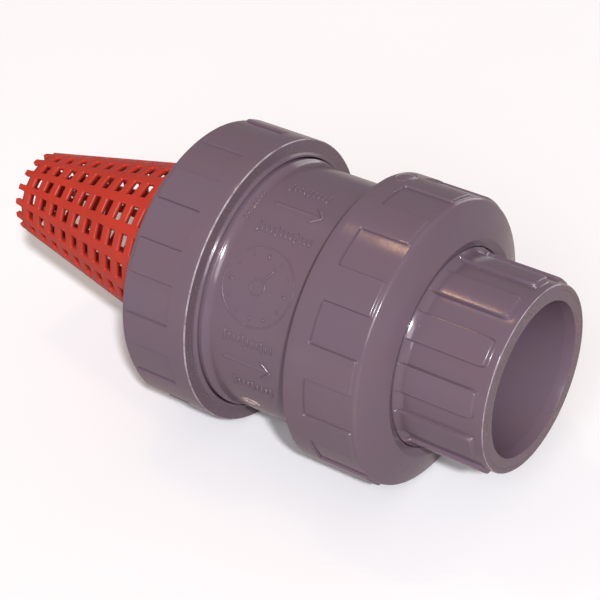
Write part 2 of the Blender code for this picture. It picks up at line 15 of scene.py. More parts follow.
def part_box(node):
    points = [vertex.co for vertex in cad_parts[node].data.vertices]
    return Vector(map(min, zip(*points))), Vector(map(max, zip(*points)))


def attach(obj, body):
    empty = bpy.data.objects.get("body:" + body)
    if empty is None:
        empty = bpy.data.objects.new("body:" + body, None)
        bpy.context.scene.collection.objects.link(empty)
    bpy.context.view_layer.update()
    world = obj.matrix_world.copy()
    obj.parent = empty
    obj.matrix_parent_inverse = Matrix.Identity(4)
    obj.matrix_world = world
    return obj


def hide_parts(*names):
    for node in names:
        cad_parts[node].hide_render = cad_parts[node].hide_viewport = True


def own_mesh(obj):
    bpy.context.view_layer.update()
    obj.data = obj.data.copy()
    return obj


MM = 0.001

# How far the low ring round each nut's open end stands out from its face.
NUT_NOSE = 1.3 * MM

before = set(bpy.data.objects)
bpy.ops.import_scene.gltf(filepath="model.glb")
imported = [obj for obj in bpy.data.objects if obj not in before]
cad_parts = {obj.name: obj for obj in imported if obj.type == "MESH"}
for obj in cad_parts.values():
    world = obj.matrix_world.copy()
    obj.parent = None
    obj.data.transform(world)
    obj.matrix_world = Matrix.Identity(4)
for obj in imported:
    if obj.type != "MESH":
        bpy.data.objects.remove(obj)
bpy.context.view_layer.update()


def low_x(node):
    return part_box(node)[0][0]


def high_x(node):
    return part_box(node)[1][0]


def outer_radius(node):
    low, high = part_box(node)
    return (high[1] - low[1]) / 2


# What the frame gives. The valve lies on its nuts.
NUT_RADIUS = outer_radius("outlet_union_nut")
AXIS_HEIGHT = NUT_RADIUS
OUTLET_NUT_FACE = low_x("outlet_union_nut") + NUT_NOSE
NUT_LENGTH = high_x("outlet_union_nut") - OUTLET_NUT_FACE
INLET_NUT_FACE = high_x("inlet_union_nut") - NUT_NOSE
BODY_INLET_END = low_x("valve_body")
BODY_OUTLET_END = high_x("valve_body")
SOCKET_FACE = high_x("outlet_end_connector")
NET_TIP = low_x("strainer_basket")

# Mesh tolerances: how near a radius counts as being on it, how close rows may lie,
# and how near two vertices become one.
AT_RADIUS = 0.1 * MM
ROW_REACH = 0.05 * MM
ROW_GAP = 0.05 * MM
WELD = 0.001 * MM
TURNED_SHARP_DEGREES = 50.0
RELIEF_SHARP_DEGREES = 60.0
EDGE_ROWS = (-1.3, -0.75, -0.38, -0.17, 0.0, 0.17, 0.38, 0.75, 1.3)

# The barrel's plain outside. Its collar reaches from there to the width of its CAD box.
BARREL_RADIUS = 51.65 * MM
CARRIER_BORE = 45.5 * MM
CHAMBER_RADIUS = 44.0 * MM
CHAMBER_LOW = 1.8 * MM
GUIDE_LEDGE = 55.0 * MM
GUIDE_BORE = 46.0 * MM
SNAP_GROOVE = (63.3 * MM, 65.1 * MM)
SNAP_GROOVE_RADIUS = 47.9 * MM

# Fit between pieces, and the flanges that the nuts hold.
CLEARANCE = 0.3 * MM
FLANGE_RADIUS = 47.8 * MM

# Union threads.
THREAD_PITCH = 6.0 * MM
THREAD_HALF_WIDTH = 1.2 * MM
THREAD_FLANK = 0.9 * MM
THREAD_RUN_IN = 2.0 * MM
BODY_THREAD_HEIGHT = 1.65 * MM
NUT_THREAD_HEIGHT = 2.9 * MM
NUT_THREAD_ROOT = 55.0 * MM
THREAD_ROW = 0.5 * MM

# Collar that the inlet nut stops against.
COLLAR_GAP = 0.3 * MM
COLLAR_TOP = 2.6 * MM
COLLAR_RUN = 3.4 * MM
COLLAR_HEIGHT = outer_radius("valve_body") - BARREL_RADIUS

# Nuts. The distances along one are from its open end.
NUT_SHOULDER = 32.3 * MM
NUT_COLLAR_RADIUS = 45.3 * MM
NUT_HOLE_RADIUS = 41.65 * MM
NUT_STEP = 1.3 * MM
NUT_LEDGE = 30.15 * MM
NUT_FLANGE_BORE = FLANGE_RADIUS + CLEARANCE
NUT_THREAD_END = 22.8 * MM
NUT_LIP = 1.6 * MM
NUT_OPENING_RADIUS = 53.6 * MM
RIB_COUNT = 12
NUT_THREAD = (2.2 * MM, 22.0 * MM)
NUT_OUTSIDE = 57.5 * MM
POCKET_DEPTH = 1.0 * MM
POCKET_START = 9.1 * MM
RIB_END = 30.4 * MM
POCKET_HALF_ANGLE = math.radians(8.25)
OUTLET_POCKET_PHASE = 0.0
INLET_POCKET_PHASE = math.radians(15.8)
EDGE_WIDTH = 0.34 * MM
RIB_END_WIDTH = 0.9 * MM
POCKET_CORNER = 0.8 * MM

# Outlet connector. The distances along it are from the socket's face.
SOCKET_RADIUS = 38.6 * MM
SOCKET_DEPTH = 38.0 * MM
SOCKET_BORE = 31.6 * MM
SOCKET_MOUTH = 32.1 * MM
SOCKET_LEAD_IN = 4.6 * MM
FACE_LINE = 36.35 * MM
THROAT_RADIUS = 27.0 * MM
CONNECTOR_FLANGE = (45.6 * MM, 52.6 * MM)
SEAL_GROOVE = (38.0 * MM, 42.0 * MM)
SEAL_GROOVE_DEPTH = 2.8 * MM
SOCKET_RIB_HEIGHT = 1.7 * MM
SOCKET_RIB_START = 4.4 * MM
SOCKET_RIB_HALF_ANGLE = math.radians(8.25)
SOCKET_RIB_PHASE = math.radians(17.2)
SOCKET_RIB_CORNER = 1.3 * MM
NECK_RADIUS = 41.4 * MM
NECK_TOP = 38.2 * MM
NECK_FLARE = 3.4 * MM

# Strainer net.
NET_STRIPS = 17
NET_STRIP_ANGLE = math.radians(7.9)
NET_HOLE_PHASE = math.radians(7.24)
NET_COLLAR = -37.1 * MM
NET_COLLAR_RADIUS = 37.6 * MM
NET_SLOPE = 0.2198
NET_THICKNESS = 2.0 * MM
HOLE_ROWS = 11
HOLE_PITCH = 7.56 * MM
HOLE_LENGTH = 4.05 * MM
LAST_HOLE = -114.3 * MM
LAST_HOOP_END = -120.2 * MM
NET_EDGE_CREASE = 0.6
NET_STRIP_SINK = 0.22 * MM
NET_END_STATION = -118.4 * MM
NET_END_SPOKES = 10

# Raised marks on the barrel.
MEDALLION_STATION = 24.9 * MM
MEDALLION_ANGLE = math.radians(147.0)
MEDALLION_RADIUS = 15.9 * MM

# Rows of gauge ticks: level, degrees from the dial, station and length.
SCALES = (
    ("top", -50.5, 23.6 * MM, 19.0 * MM),
    ("upper", -25.5, 26.0 * MM, 25.0 * MM),
    ("lower", 25.2, 25.6 * MM, 23.0 * MM),
    ("bottom", 48.5, 27.0 * MM, 19.0 * MM),
)


# ---- shapes


def rounded(corners, closed=True, steps=4):
    """(station, radius, fillet) corners as (station, radius) points, with arcs at fillets."""
    points = []
    count = len(corners)
    for i, (x, r, fillet) in enumerate(corners):
        here = Vector((x, r))
        if fillet == 0 or (not closed and i in (0, count - 1)):
            points.append((x, r))
            continue
        before = Vector(corners[i - 1][:2]) - here
        after = Vector(corners[(i + 1) % count][:2]) - here
        half = before.angle(after) / 2
        cut = min(fillet / math.tan(half), 0.45 * before.length, 0.45 * after.length)
        towards = (before.normalized() + after.normalized()).normalized()
        centre = here + towards * (cut / math.cos(half))
        first = here + before.normalized() * cut - centre
        last = here + after.normalized() * cut - centre
        turn = math.atan2(last.y, last.x) - math.atan2(first.y, first.x)
        turn = (turn + math.pi) % (2 * math.pi) - math.pi
        for k in range(steps + 1):
            point = centre + Matrix.Rotation(turn * k / steps, 2) @ first
            points.append((point.x, point.y))
    return points


def along(start, direction, corners):
    """(distance, radius, fillet) corners from a start station, as stations. Only the fillets are in mm."""
    return [(start + direction * u, r, f * MM) for u, r, f in corners]


def in_metres(corners):
    return [(x * MM, r * MM, f * MM) for x, r, f in corners]


def with_rows(points, stations, radius):
    """Split the stretches that lie at one radius, at the given stations."""
    low, high = radius - ROW_REACH, radius + ROW_REACH
    result = []
    for i, (x, r) in enumerate(points):
        result.append((x, r))
        next_x, next_r = points[(i + 1) % len(points)]
        if not (low <= r <= high and low <= next_r <= high):
            continue
        inside = [s for s in stations if min(x, next_x) + ROW_GAP < s < max(x, next_x) - ROW_GAP]
        for s in sorted(inside, reverse=next_x < x):
            result.append((s, r + (next_r - r) * (s - x) / (next_x - x)))
    return result


def even_angles(count):
    return [2 * math.pi * i / count for i in range(count)]


def rib_angles(phase, half_angle, radius):
    """Angles that crowd round the edges of every rib, with a few between."""
    pitch = 2 * math.pi / RIB_COUNT
    angles = set()
    for i in range(RIB_COUNT):
        centre = phase + pitch * i
        for side in (-1, 1):
            edge = centre + side * half_angle
            angles.update(edge + offset * MM / radius for offset in EDGE_ROWS)
        for part in (-0.4, 0.0, 0.4):
            angles.add(centre + part * half_angle)
            angles.add(centre + pitch / 2 + part * (pitch / 2 - half_angle))
    return sorted(a % (2 * math.pi) for a in angles)


def in_direction(angle):
    return Vector((math.cos(angle), math.sin(angle)))


def on_circle(station, radius, angle):
    """The point at a station, a distance from the flow axis and an angle about it."""
    return station, radius * math.cos(angle), AXIS_HEIGHT + radius * math.sin(angle)


def put_in_scene(name, data):
    obj = bpy.data.objects.new(name, data)
    bpy.context.scene.collection.objects.link(obj)
    return obj


def object_from(name, shape, sharp_degrees=None):
    """A smooth object from a bmesh, with edges over sharp_degrees kept sharp."""
    bmesh.ops.recalc_face_normals(shape, faces=shape.faces)
    mesh = bpy.data.meshes.new(name)
    shape.to_mesh(mesh)
    shape.free()
    mesh.shade_smooth()
    if sharp_degrees is not None:
        mesh.set_sharp_from_angle(angle=math.radians(sharp_degrees))
    return put_in_scene(name, mesh)


def mesh_object(name, vertices, faces):
    draft = bpy.data.meshes.new("draft")
    draft.from_pydata(vertices, [], faces)
    shape = bmesh.new()
    shape.from_mesh(draft)
    bpy.data.meshes.remove(draft)
    bmesh.ops.remove_doubles(shape, verts=shape.verts, dist=WELD)
    return object_from(name, shape, TURNED_SHARP_DEGREES)


def bridge(shape, rings):
    """Join rings of vertices one to the next, and close the first and the last."""
    for first, second in zip(rings, rings[1:]):
        for k in range(len(first)):
            j = (k + 1) % len(first)
            shape.faces.new((first[k], first[j], second[j], second[k]))
    shape.faces.new(rings[0])
    shape.faces.new(list(reversed(rings[-1])))


def sweep(name, points, angles, shape=None, closed=True):
    """Sweep (station, radius) points round the flow axis. shape(x, r, angle) may move r."""
    angle = np.array(angles)[None, :]
    x = np.array([p[0] for p in points])[:, None] + 0.0 * angle
    r = np.array([p[1] for p in points])[:, None] + 0.0 * angle
    if shape:
        r = shape(x, r, angle + 0.0 * x)
    y = r * np.cos(angle)
    z = AXIS_HEIGHT + r * np.sin(angle)
    vertices = np.stack([x, y, z], axis=-1).reshape(-1, 3).tolist()
    rows, columns = x.shape
    faces = []
    for i in range(rows if closed else rows - 1):
        a, b = i * columns, (i + 1) % rows * columns
        for j in range(columns):
            k = (j + 1) % columns
            faces.append((a + j, a + k, b + k, b + j))
    return mesh_object(name, vertices, faces)


def smooth_step(value):
    value = np.clip(value, 0.0, 1.0)
    return value * value * (3.0 - 2.0 * value)


def smooth_min(a, b, reach):
    blend = np.clip(0.5 + 0.5 * (b - a) / reach, 0.0, 1.0)
    return b + (a - b) * blend - reach * blend * (1.0 - blend)


def from_sector_centre(angle, phase, radius):
    """Distance round the circle to the nearest of the evenly spaced centres."""
    pitch = 2 * math.pi / RIB_COUNT
    return np.abs((angle - phase + pitch / 2) % pitch - pitch / 2) * radius


def thread_height(x, angle, offset):
    """0 to 1 across a right-handed ridge."""
    turn = (x / THREAD_PITCH - angle / (2 * math.pi) - offset) % 1.0
    away = np.abs(turn - 0.5) * THREAD_PITCH
    return smooth_step((THREAD_HALF_WIDTH - away) / THREAD_FLANK + 0.5)


def fade(x, low, high, run):
    return smooth_step((x - low) / run) * smooth_step((high - x) / run)


# ---- materials


class Nodes:
    """Short ways to add and join shader nodes."""

    def __init__(self, name):
        self.material = bpy.data.materials.new(name)
        self.material.use_nodes = True
        self.tree = self.material.node_tree
        self.shader = self.tree.nodes["Principled BSDF"]
        self.place = self.add("ShaderNodeTexCoord").outputs["Object"]

    def add(self, kind, **values):
        node = self.tree.nodes.new(kind)
        for key, value in values.items():
            setattr(node, key, value)
        return node

    def join(self, output, socket):
        self.tree.links.new(output, socket)

    def feed(self, socket, value):
        """Set a socket to a number or colour, or join an output to it."""
        if isinstance(value, (int, float)):
            socket.default_value = value
        elif isinstance(value, tuple):
            socket.default_value = (*value, 1.0)
        else:
            self.join(value, socket)

    def noise(self, scale, detail=3.0, roughness=0.5, stretch=(1.0, 1.0, 1.0)):
        mapping = self.add("ShaderNodeMapping")
        mapping.inputs["Scale"].default_value = stretch
        self.join(self.place, mapping.inputs["Vector"])
        noise = self.add("ShaderNodeTexNoise")
        noise.inputs["Scale"].default_value = scale
        noise.inputs["Detail"].default_value = detail
        noise.inputs["Roughness"].default_value = roughness
        self.join(mapping.outputs["Vector"], noise.inputs["Vector"])
        return noise.outputs["Fac"]

    def ramp(self, factor, stops):
        """Map a factor through (position, grey or colour) stops."""
        ramp = self.add("ShaderNodeValToRGB")
        elements = ramp.color_ramp.elements
        while len(elements) < len(stops):
            elements.new(0.5)
        for element, (position, value) in zip(elements, stops):
            element.position = position
            colour = value if isinstance(value, tuple) else (value,) * 3
            element.color = (*colour, 1.0)
        self.join(factor, ramp.inputs["Fac"])
        return ramp.outputs["Color"]

    def mix(self, factor, first, second):
        """Mix two colours. Each may be a socket or a colour."""
        mix = self.add("ShaderNodeMix", data_type="RGBA")
        for index, value in ((0, factor), (6, first), (7, second)):
            self.feed(mix.inputs[index], value)
        return mix.outputs[2]

    def maths(self, operation, first, second):
        node = self.add("ShaderNodeMath", operation=operation)
        self.feed(node.inputs[0], first)
        self.feed(node.inputs[1], second)
        return node.outputs[0]

    def times(self, first, second):
        return self.maths("MULTIPLY", first, second)

    def bump(self, height, strength, distance, under=None):
        bump = self.add("ShaderNodeBump")
        bump.inputs["Strength"].default_value = strength
        bump.inputs["Distance"].default_value = distance
        self.join(height, bump.inputs["Height"])
        if under is not None:
            self.join(under, bump.inputs["Normal"])
        return bump.outputs["Normal"]

    def near(self, output, value, reach):
        node = self.add("ShaderNodeMath", operation="COMPARE")
        for socket, fed in zip(node.inputs, (output, value, reach)):
            self.feed(socket, fed)
        return node.outputs[0]

    def near_station(self, station, reach):
        """1 within reach of a station along the flow, 0 beyond."""
        separate = self.add("ShaderNodeSeparateXYZ")
        self.join(self.place, separate.inputs["Vector"])
        return self.near(separate.outputs["X"], station, reach)

    def near_radius(self, radius, reach):
        """1 within reach of a distance from the flow axis, 0 beyond."""
        shift = self.add("ShaderNodeVectorMath", operation="SUBTRACT")
        self.join(self.place, shift.inputs[0])
        shift.inputs[1].default_value = (0.0, 0.0, AXIS_HEIGHT)
        across = self.add("ShaderNodeVectorMath", operation="MULTIPLY")
        self.join(shift.outputs[0], across.inputs[0])
        across.inputs[1].default_value = (0.0, 1.0, 1.0)
        length = self.add("ShaderNodeVectorMath", operation="LENGTH")
        self.join(across.outputs[0], length.inputs[0])
        return self.near(length.outputs["Value"], radius, reach)

    def surface(self, colour, roughness, normal):
        """Join what the shader shows, and give the finished material."""
        self.join(colour, self.shader.inputs["Base Color"])
        self.join(roughness, self.shader.inputs["Roughness"])
        self.join(normal, self.shader.inputs["Normal"])
        return self.material

    def specks(self, scale, size):
        """1 in small round spots scattered about one to a cell, 0 between them."""
        cells = self.add("ShaderNodeTexVoronoi")
        cells.inputs["Scale"].default_value = scale
        self.join(self.place, cells.inputs["Vector"])
        return self.ramp(cells.outputs["Distance"], [(size * 0.7, 1.0), (size, 0.0)])

    def edges(self, low, high):
        """0 on flats, 1 on outward edges."""
        pointiness = self.add("ShaderNodeNewGeometry").outputs["Pointiness"]
        return self.ramp(pointiness, [(low, 0.0), (high, 1.0)])

    def corners(self, low, high):
        """1 in inward corners, where painted shade goes, 0 on flats."""
        pointiness = self.add("ShaderNodeNewGeometry").outputs["Pointiness"]
        return self.ramp(pointiness, [(low, 1.0), (high, 0.0)])


PVC_COLOUR = (0.134, 0.096, 0.131)
PVC_WARM = (0.140, 0.095, 0.120)
PVC_WORN = (0.30, 0.23, 0.26)
# Painted shade for inward corners.
PVC_SHADED = (0.055, 0.036, 0.055)
PVC_DUST = (0.24, 0.20, 0.16)
# Pale edge colour: partly a burr, partly a painted highlight.
PVC_BURR_AND_HIGHLIGHT = (0.62, 0.56, 0.60)
PVC_TORN = (0.42, 0.33, 0.30)
PVC_CUT = (0.132, 0.096, 0.112)


def pvc(name, wear, seed, cut_face=None, cut_radius=0.0):
    """Grey moulded PVC: faint flow mottling, fine skin, rubbed edges, a little dust and painted shade in
    inward corners.

    cut_face is the station of a face that was turned off rough and left so (on the socket's face its tan
    speckle also stands in for a warm reflection, a painted reflection), and cut_radius the radius of the
    burred edge round it, whose pale line is partly a burr and partly a painted highlight.
    """
    n = Nodes(name)
    mottle = n.noise(22.0 + seed, 4.0, 0.6, (1.0, 1.6, 1.6))
    colour = n.mix(n.ramp(mottle, [(0.3, 0.0), (0.7, 1.0)]), PVC_COLOUR, PVC_WARM)
    scuff_noise = n.noise(420.0 + seed, 5.0, 0.7)
    edge = n.edges(0.515, 0.60)
    rubbed = n.times(edge, n.ramp(scuff_noise, [(0.45, 0.0), (0.62, 1.0)]))
    colour = n.mix(n.times(rubbed, 0.12 * wear), colour, PVC_WORN)
    # Painted shade: inward corners are darkened towards PVC_SHADED.
    colour = n.mix(n.times(n.corners(0.42, 0.49), 0.6), colour, PVC_SHADED)
    dust_patch = n.ramp(n.noise(38.0 + seed, 3.0, 0.55), [(0.56, 0.0), (0.74, 1.0)])
    dust_grain = n.ramp(n.noise(2400.0, 3.0, 0.7), [(0.50, 0.0), (0.66, 1.0)])
    dust = n.times(n.times(dust_patch, dust_grain), 0.16 * wear)
    specks = n.specks(95.0 + seed, 0.022)
    dust = n.maths("MAXIMUM", dust, n.times(specks, 0.5 * wear))
    colour = n.mix(dust, colour, PVC_DUST)
    if cut_face is not None:
        cut = n.near_station(cut_face, 0.30 * MM)
        # A pale line round the cut face's outer edge: partly a burr, partly a painted highlight.
        burr_and_highlight = n.times(n.near_station(cut_face, 0.60 * MM), n.near_radius(cut_radius, 0.35 * MM))
        burr_and_highlight = n.times(burr_and_highlight, n.ramp(n.noise(130.0, 4.0, 0.7), [(0.35, 0.2), (0.6, 1.0)]))
        grit = n.noise(1500.0, 4.0, 0.7)
        # Rough cut speckle: on the inlet nut the face's own look; on the socket's face its tan also stands in
        # for a warm reflection, a painted reflection.
        cut_and_reflection_colour = n.ramp(grit, [(0.35, (0.07, 0.050, 0.062)), (0.5, PVC_CUT), (0.68, (0.30, 0.24, 0.20))])
        patches = n.ramp(n.noise(55.0, 3.0, 0.6), [(0.4, 0.05), (0.65, 0.6)])
        colour = n.mix(n.times(cut, patches), colour, cut_and_reflection_colour)
        colour = n.mix(n.times(burr_and_highlight, 0.55), colour, PVC_BURR_AND_HIGHLIGHT)
    smear = n.noise(60.0 + seed, 4.0, 0.6, (0.4, 1.0, 1.0))
    rough = n.ramp(smear, [(0.25, 0.13), (0.75, 0.20)])
    rough = n.mix(n.maths("ADD", dust, n.times(rubbed, 0.4)), rough, (0.6, 0.6, 0.6))
    skin = n.bump(n.noise(700.0, 3.0, 0.6), 0.10, 0.0002)
    ripple = n.bump(n.noise(38.0 + seed, 2.0, 0.4, (1.0, 0.5, 0.5)), 0.10, 0.0016, skin)
    normal = n.bump(specks, 0.3, 0.0002, ripple)
    if cut_face is not None:
        normal = n.bump(n.times(cut, grit), 0.35, 0.0004, normal)
    n.shader.inputs["Specular IOR Level"].default_value = 0.42
    return n.surface(colour, rough, normal)


def torn_pvc(name):
    """The paler, rough PVC where the gate was broken off."""
    n = Nodes(name)
    grain = n.noise(800.0, 4.0, 0.7)
    colour = n.ramp(grain, [(0.3, PVC_COLOUR), (0.55, PVC_TORN)])
    roughness = n.ramp(grain, [(0.3, 0.4), (0.7, 0.6)])
    return n.surface(colour, roughness, n.bump(grain, 0.5, 0.0004))


def net_plastic(name):
    """Orange-red extruded net: satin, slightly uneven, paler where it is stretched."""
    n = Nodes(name)
    tone = n.noise(34.0, 4.0, 0.6)
    colour = n.mix(n.ramp(tone, [(0.3, 0.0), (0.7, 1.0)]), (0.40, 0.024, 0.011), (0.47, 0.032, 0.014))
    edge = n.edges(0.52, 0.66)
    colour = n.mix(n.times(edge, 0.25), colour, (0.50, 0.075, 0.050))
    roughness = n.ramp(n.noise(120.0, 3.0, 0.6), [(0.3, 0.40), (0.7, 0.55)])
    drawn = n.bump(n.noise(260.0, 3.0, 0.6, (0.25, 1.0, 1.0)), 0.25, 0.0003)
    n.shader.inputs["Subsurface Weight"].default_value = 0.08
    n.shader.inputs["Subsurface Radius"].default_value = (0.004, 0.001, 0.0005)
    return n.surface(colour, roughness, drawn)


def rubber(name):
    n = Nodes(name)
    tone = n.noise(90.0, 4.0, 0.6)
    colour = n.ramp(tone, [(0.3, (0.016, 0.016, 0.017)), (0.7, (0.030, 0.029, 0.029))])
    roughness = n.ramp(n.noise(300.0, 3.0), [(0.3, 0.48), (0.7, 0.66)])
    return n.surface(colour, roughness, n.bump(n.noise(1400.0, 2.0), 0.25, 0.0001))


def steel(name, turned=True):
    """Stainless steel with the fine rings that turning or drawing leaves."""
    n = Nodes(name)
    stretch = (60.0, 1.0, 1.0) if turned else (1.0, 1.0, 1.0)
    rings = n.noise(60.0, 3.0, 0.5, stretch)
    colour = n.ramp(rings, [(0.3, (0.50, 0.49, 0.47)), (0.7, (0.66, 0.65, 0.63))])
    roughness = n.ramp(rings, [(0.3, 0.22), (0.7, 0.36)])
    n.shader.inputs["Metallic"].default_value = 1.0
    return n.surface(colour, roughness, n.bump(rings, 0.08, 0.0001))


def acetal(name):
    n = Nodes(name)
    colour = n.ramp(n.noise(70.0, 4.0), [(0.3, (0.70, 0.68, 0.62)), (0.7, (0.78, 0.76, 0.71))])
    roughness = n.ramp(n.noise(200.0, 3.0), [(0.3, 0.34), (0.7, 0.48)])
    return n.surface(colour, roughness, n.bump(n.noise(900.0, 2.0), 0.1, 0.0001))


def stand_for(obj, node, body, material):
    """The piece takes the place of a CAD node and moves with its body."""
    obj.data.materials.append(material)
    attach(obj, body)
    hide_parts(node)
    return obj


def add_to(obj, body, material):
    """A piece of its own, on a body, in the finish of one of the slots."""
    obj.data.materials.append(material)
    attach(obj, body)
    return obj


# ---- union nuts


def make_nut(node, body, open_end, direction, phase, material):
    """One nut, from its open, threaded end to its collar."""
    plain_radius = NUT_RADIUS - POCKET_DEPTH
    corners = along(open_end, direction, [
        (0.0, plain_radius, 0.55),
        (NUT_SHOULDER, plain_radius, 1.7),
        (NUT_LENGTH, NUT_COLLAR_RADIUS, 0.5),
        (NUT_LENGTH - NUT_STEP, NUT_HOLE_RADIUS, 0.5),
        (NUT_LEDGE, NUT_HOLE_RADIUS, 0.4),
        (NUT_LEDGE, NUT_FLANGE_BORE, 0.4),
        (NUT_THREAD_END, NUT_FLANGE_BORE, 0.4),
        (NUT_THREAD_END, NUT_THREAD_ROOT, 0.4),
        (NUT_LIP, NUT_THREAD_ROOT, 0.2),
        (NUT_LIP, NUT_OPENING_RADIUS, 0.3),
        (-NUT_NOSE, NUT_OPENING_RADIUS, 0.3),
        (-NUT_NOSE, NUT_OPENING_RADIUS + 1.0 * MM, 0.8),
        (0.0, NUT_OPENING_RADIUS + 1.6 * MM, 0.7),
        (0.0, 57.0 * MM, 0.0),
        (0.0, 59.0 * MM, 0.0),
    ])
    front = [POCKET_START + d * MM for d in EDGE_ROWS] + [RIB_END + d * MM for d in EDGE_ROWS]
    front += [3.5 * MM, 14.0 * MM, 20.0 * MM, 26.0 * MM]
    points = with_rows(rounded(corners), [open_end + direction * u for u in front], plain_radius)
    inner = [open_end + direction * (2.1 * MM + THREAD_ROW * i) for i in range(int(20.0 * MM / THREAD_ROW))]
    points = with_rows(points, inner, NUT_THREAD_ROOT)

    def shape(x, r, angle):
        u = (x - open_end) * direction
        aside = from_sector_centre(angle, phase, NUT_RADIUS)
        corner = POCKET_CORNER
        reach_in = POCKET_START + corner - u
        across = aside - (POCKET_HALF_ANGLE * NUT_RADIUS - corner)
        pocket = np.hypot(np.maximum(reach_in, 0), np.maximum(across, 0)) - corner
        pocket += np.minimum(np.maximum(reach_in, across), 0)
        above = smooth_min(pocket / EDGE_WIDTH, (RIB_END - u) / RIB_END_WIDTH, 1.5)
        raised = smooth_step(above + 0.5) * (r > NUT_OUTSIDE)
        ridge = thread_height(x, angle, 0.5) * fade(u, *NUT_THREAD, THREAD_RUN_IN)
        cut = (np.abs(r - NUT_THREAD_ROOT) < ROW_REACH) * ridge * NUT_THREAD_HEIGHT
        return r + raised * POCKET_DEPTH - cut

    nut = sweep(node + "_fine", points, rib_angles(phase, POCKET_HALF_ANGLE, NUT_RADIUS), shape)
    return stand_for(nut, node, body, material)


# ---- socket


def make_connector(material):
    flange_top, flange_face = CONNECTOR_FLANGE
    groove_inner, groove_outer = SEAL_GROOVE
    groove_floor = flange_face - SEAL_GROOVE_DEPTH
    corners = along(SOCKET_FACE, -1, [
        (0.0, SOCKET_RADIUS - 0.7 * MM, 0.25),
        (0.7 * MM, SOCKET_RADIUS, 0.6),
        (flange_top, SOCKET_RADIUS, 0.0),
        (flange_top, FLANGE_RADIUS, 0.6),
        (flange_face, FLANGE_RADIUS, 0.6),
        (flange_face, groove_outer, 0.2),
        (groove_floor, groove_outer, 0.2),
        (groove_floor, groove_inner, 0.2),
        (flange_face, groove_inner, 0.2),
        (flange_face, THROAT_RADIUS, 1.0),
        (SOCKET_DEPTH, THROAT_RADIUS, 0.5),
        (SOCKET_DEPTH, SOCKET_BORE, 0.3),
        (SOCKET_LEAD_IN, SOCKET_BORE, 0.4),
        (0.0, SOCKET_MOUTH, 0.3),
        (0.0, FACE_LINE - 0.15 * MM, 0.1),
        (0.2 * MM, FACE_LINE, 0.1),
        (0.0, FACE_LINE + 0.15 * MM, 0.1),
    ])
    rows = [SOCKET_FACE - SOCKET_RIB_START - d * MM for d in EDGE_ROWS + (2.2, 3.0, 9.0, 16.0, 24.0)]
    rows += [SOCKET_FACE - NECK_TOP + 0.25 * MM * i for i in range(-4, 20)]
    points = with_rows(rounded(corners), rows, SOCKET_RADIUS)

    def shape(x, r, angle):
        u = SOCKET_FACE - x
        corner = SOCKET_RIB_CORNER
        aside = from_sector_centre(angle, SOCKET_RIB_PHASE, SOCKET_RADIUS)
        past_end = corner + (SOCKET_RIB_START - u) * EDGE_WIDTH / RIB_END_WIDTH
        across = aside - (SOCKET_RIB_HALF_ANGLE * SOCKET_RADIUS - corner)
        outside = np.hypot(np.maximum(past_end, 0), np.maximum(across, 0)) - corner
        outside += np.minimum(np.maximum(past_end, across), 0)
        raised = smooth_step(0.5 - outside / (EDGE_WIDTH * 1.3)) * (np.abs(r - SOCKET_RADIUS) < AT_RADIUS)
        r = r + raised * SOCKET_RIB_HEIGHT
        flare = np.clip(1.0 - (NECK_TOP - u) / NECK_FLARE, 0.0, 1.0) ** 2
        on_socket = (r > SOCKET_RADIUS - AT_RADIUS) & (r < SOCKET_RADIUS + SOCKET_RIB_HEIGHT + 0.2 * MM)
        return r + on_socket * flare * (NECK_RADIUS - r)

    angles = rib_angles(SOCKET_RIB_PHASE, SOCKET_RIB_HALF_ANGLE, SOCKET_RADIUS)
    connector = sweep("outlet_end_connector_fine", points, angles, shape)
    return stand_for(connector, "outlet_end_connector", "outlet_connector", material)


# ---- barrel


